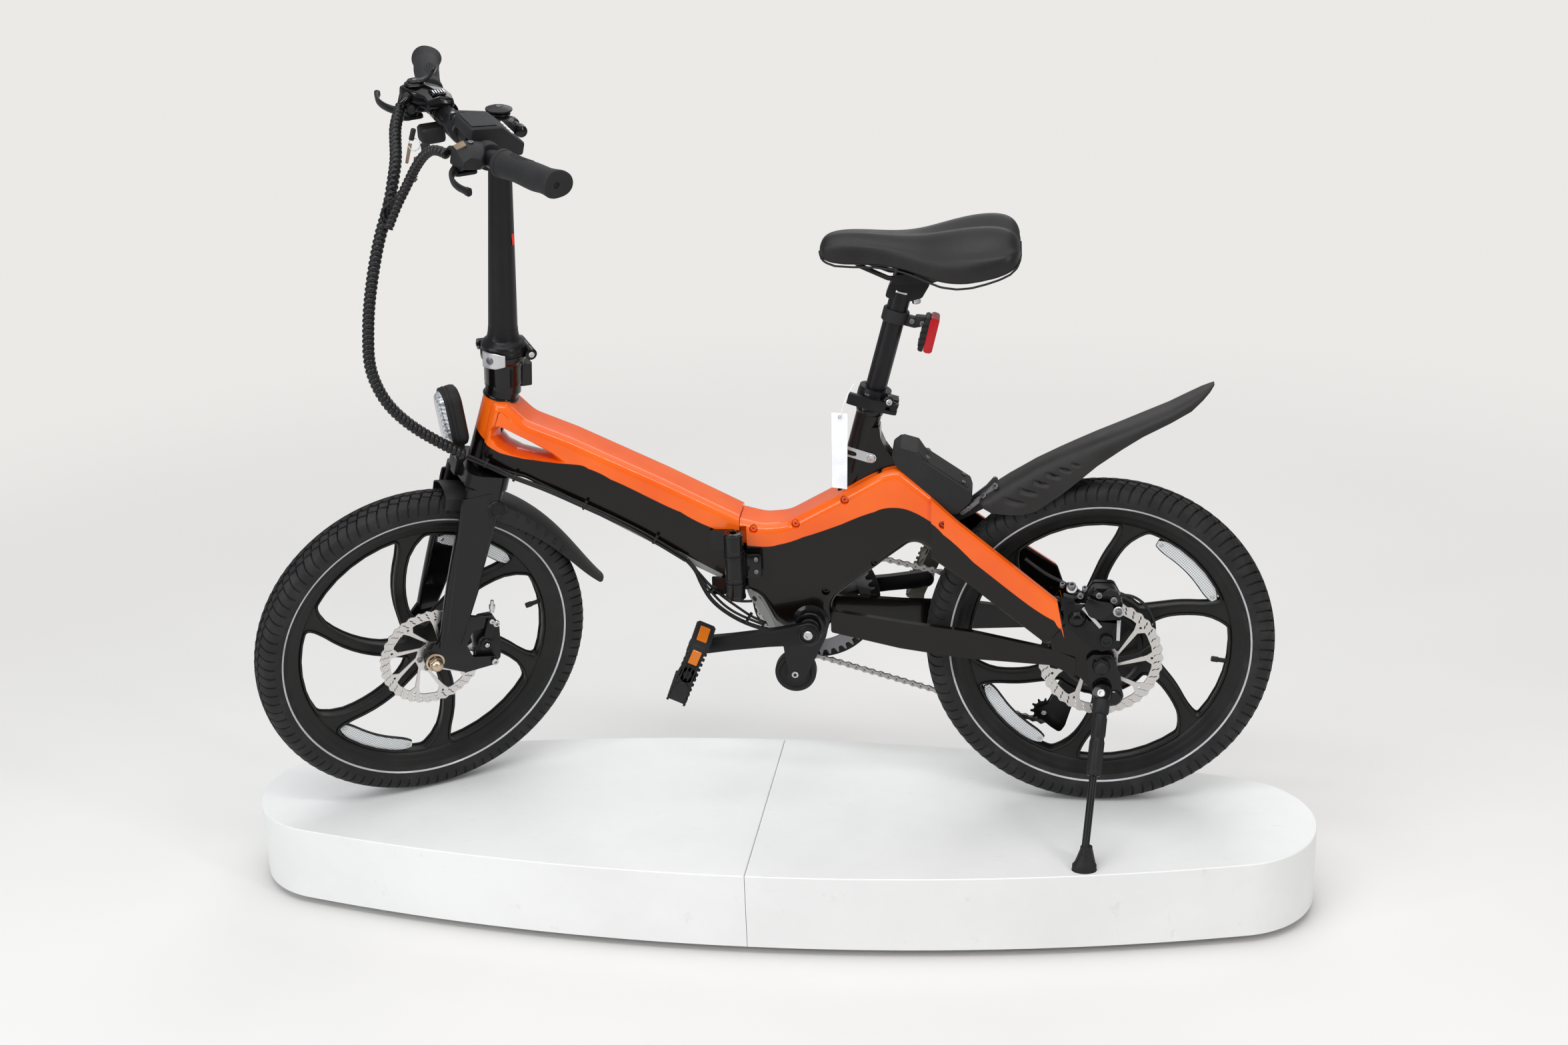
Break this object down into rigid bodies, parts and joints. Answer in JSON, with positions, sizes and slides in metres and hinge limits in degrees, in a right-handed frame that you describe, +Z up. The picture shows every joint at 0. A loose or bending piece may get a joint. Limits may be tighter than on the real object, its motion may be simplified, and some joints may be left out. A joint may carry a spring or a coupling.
{
  "type": "bicycle on stand",
  "caption": "Folding electric bicycle with small cast wheels, parked on its side stand on a low oval display plinth.",
  "frame": {"origin": "on the floor under the plinth, in the plane of symmetry of the bicycle and midway along the plinth", "axes": "+Z up; +X towards the back of the bicycle, so that it faces -X; -Y towards its left side"},
  "size_m": [1.6101, 0.5117, 1.2417],
  "materials": {
    "white_board": "matt white laminate",
    "dark_board": "matt black paint",
    "orange_paint": "gloss orange paint above, gloss black paint below",
    "black_paint": "satin black paint",
    "black_steel": "satin black paint",
    "black_plastic": "matt",
    "red_plastic": "red lens",
    "steel": "brushed",
    "tyre_rubber": "matt",
    "grip_rubber": "matt",
    "cable_rubber": "satin",
    "vinyl": "smooth black vinyl"
  },
  "bodies": {
    "stand": {"plinth_front_half": "white_board", "plinth_rear_half": "white_board", "plinth_base_boards": "dark_board"},
    "rear_frame": {"rear_spine": "orange_paint", "rear_stays": "black_paint", "seat_collar": "black_paint", "bottom_bracket": "black_paint", "hinge_rear_leaf": "black_paint", "controller_box": "black_plastic", "rear_mudguard": "black_plastic", "rear_caliper": "black_paint", "rear_axle": "steel", "derailleur": "black_paint", "chain": "steel", "kickstand_plate": "black_steel", "hinge_harness": "cable_rubber"},
    "support_wheel": {"support_wheel": "black_plastic"},
    "kickstand_leg": {"kickstand_leg": "black_steel"},
    "rear_wheel": {"rear_tyre": "tyre_rubber", "rear_cast_wheel": "black_paint", "hub_motor": "black_paint", "rear_rotor": "steel"},
    "sprocket": {"freewheel_sprocket": "steel"},
    "guide_pulley": {"guide_pulley": "black_plastic"},
    "tension_pulley": {"tension_pulley": "black_plastic"},
    "crank": {"crankset": "black_paint"},
    "left_pedal": {"left_pedal": "black_plastic"},
    "right_pedal": {"right_pedal": "black_plastic"},
    "seatpost": {"seatpost": "black_paint", "saddle": "vinyl", "saddle_rails": "black_steel", "tail_light": "red_plastic"},
    "seat_lever": {"seat_lever": "black_paint"},
    "front_frame": {"front_spine": "orange_paint", "battery_pack": "black_plastic", "hinge_front_leaf": "black_paint", "frame_harness": "cable_rubber"},
    "hinge_latch": {"hinge_latch_lever": "black_paint"},
    "steering": {"fork_crown": "black_paint", "fork_blades": "black_paint", "front_caliper": "black_paint", "front_mudguard": "black_plastic", "headlight": "black_plastic", "stem_base": "black_paint", "front_axle": "steel"},
    "front_wheel": {"front_tyre": "tyre_rubber", "front_cast_wheel": "black_paint", "front_rotor": "steel"},
    "handlepost": {"handlepost": "black_paint", "bar_clamp": "black_paint", "handlebar": "black_paint", "grips": "grip_rubber", "display_unit": "black_plastic", "brake_brackets": "black_paint", "bar_controls": "black_plastic", "bar_harness": "cable_rubber"},
    "left_brake_lever": {"left_brake_lever": "black_paint"},
    "right_brake_lever": {"right_brake_lever": "black_paint"},
    "shifter_lever": {"shifter_lever": "black_plastic"}
  },
  "joints": [
    {"name": "lift_off_stand", "type": "slide", "parent": "stand", "child": "rear_frame", "axis": [0, 0, 1], "range_m": [0, 0.3]},
    {"name": "frame_fold", "type": "hinge", "parent": "rear_frame", "child": "front_frame", "pos_m": [-0.023, -0.056, 0.525], "axis": [0, 0, 1], "range_deg": [0, 145], "deforming": ["hinge_harness"]},
    {"name": "hinge_latch", "type": "hinge", "parent": "front_frame", "child": "hinge_latch", "pos_m": [-0.042, 0.05, 0.55], "axis": [0, 0, 1], "range_deg": [0, 115]},
    {"name": "steering", "type": "hinge", "parent": "front_frame", "child": "steering", "pos_m": [-0.36, 0, 0.771], "axis": [0.2924, 0, 0.9563], "range_deg": [-81, 18], "deforming": ["bar_harness"]},
    {"name": "front_wheel_spin", "type": "hinge", "parent": "steering", "child": "front_wheel", "pos_m": [-0.50914, -0.01794, 0.38281], "axis": [-0.5015, 0.8515, 0.1533], "continuous": true},
    {"name": "handlepost_fold", "type": "hinge", "parent": "steering", "child": "handlepost", "pos_m": [-0.36685, 0.02184, 0.84254], "axis": [-0.8602, -0.5097, 0.0171], "range_deg": [0, 120], "deforming": ["bar_harness"]},
    {"name": "left_brake_lever", "type": "hinge", "parent": "handlepost", "child": "left_brake_lever", "pos_m": [-0.34037, -0.19614, 1.14182], "axis": [0.0415, -0.1533, 0.9873], "range_deg": [0, 20], "stiffness_Nm_per_rad": 1.5, "springref_deg": -11.46},
    {"name": "right_brake_lever", "type": "hinge", "parent": "handlepost", "child": "right_brake_lever", "pos_m": [-0.46073, 0.00821, 1.17862], "axis": [-0.0415, 0.1533, -0.9873], "range_deg": [0, 20], "stiffness_Nm_per_rad": 1.5, "springref_deg": -11.46},
    {"name": "shifter_lever", "type": "hinge", "parent": "handlepost", "child": "shifter_lever", "pos_m": [-0.44315, -0.00575, 1.2223], "axis": [-0.0415, 0.1533, -0.9873], "range_deg": [0, 35], "stiffness_Nm_per_rad": 0.2, "springref_deg": -17.19},
    {"name": "crank_spin", "type": "hinge", "parent": "rear_frame", "child": "crank", "pos_m": [0.084, 0, 0.43], "axis": [0, -1, 0], "continuous": true},
    {"name": "left_pedal_spin", "type": "hinge", "parent": "crank", "child": "left_pedal", "pos_m": [-0.07977, -0.13, 0.40989], "axis": [0, 1, 0], "continuous": true},
    {"name": "right_pedal_spin", "type": "hinge", "parent": "crank", "child": "right_pedal", "pos_m": [0.24777, 0.13, 0.45011], "axis": [0, 1, 0], "continuous": true},
    {"name": "sprocket_spin", "type": "hinge", "parent": "rear_frame", "child": "sprocket", "pos_m": [0.505, 0, 0.3843], "axis": [0, -1, 0], "continuous": true},
    {"name": "guide_pulley_spin", "type": "hinge", "parent": "rear_frame", "child": "guide_pulley", "pos_m": [0.478, 0.0454, 0.326], "axis": [0, -1, 0], "continuous": true},
    {"name": "tension_pulley_spin", "type": "hinge", "parent": "rear_frame", "child": "tension_pulley", "pos_m": [0.426, 0.0454, 0.249], "axis": [0, -1, 0], "continuous": true},
    {"name": "rear_wheel_spin", "type": "hinge", "parent": "rear_frame", "child": "rear_wheel", "pos_m": [0.505, 0, 0.3843], "axis": [0, 1, 0], "continuous": true},
    {"name": "support_wheel_spin", "type": "hinge", "parent": "rear_frame", "child": "support_wheel", "pos_m": [0.056, -0.008, 0.337], "axis": [0, 1, 0], "continuous": true},
    {"name": "kickstand_fold", "type": "hinge", "parent": "rear_frame", "child": "kickstand_leg", "pos_m": [0.507, -0.096, 0.346], "axis": [-0.25, -0.87, 0.425], "range_deg": [0, 100]},
    {"name": "seatpost_slide", "type": "slide", "parent": "rear_frame", "child": "seatpost", "axis": [0.2672, 0, 0.9636], "range_m": [-0.08, 0.015]},
    {"name": "seat_lever_open", "type": "hinge", "parent": "rear_frame", "child": "seat_lever", "pos_m": [0.20899, -0.023, 0.75318], "axis": [0.2672, 0, 0.9636], "range_deg": [0, 150]}
  ],
  "couplings": [
    {"joint": "sprocket_spin", "follows": "crank_spin", "ratio": 2.75},
    {"joint": "guide_pulley_spin", "follows": "crank_spin", "ratio": -4.9451},
    {"joint": "tension_pulley_spin", "follows": "crank_spin", "ratio": 4.9451}
  ]
}
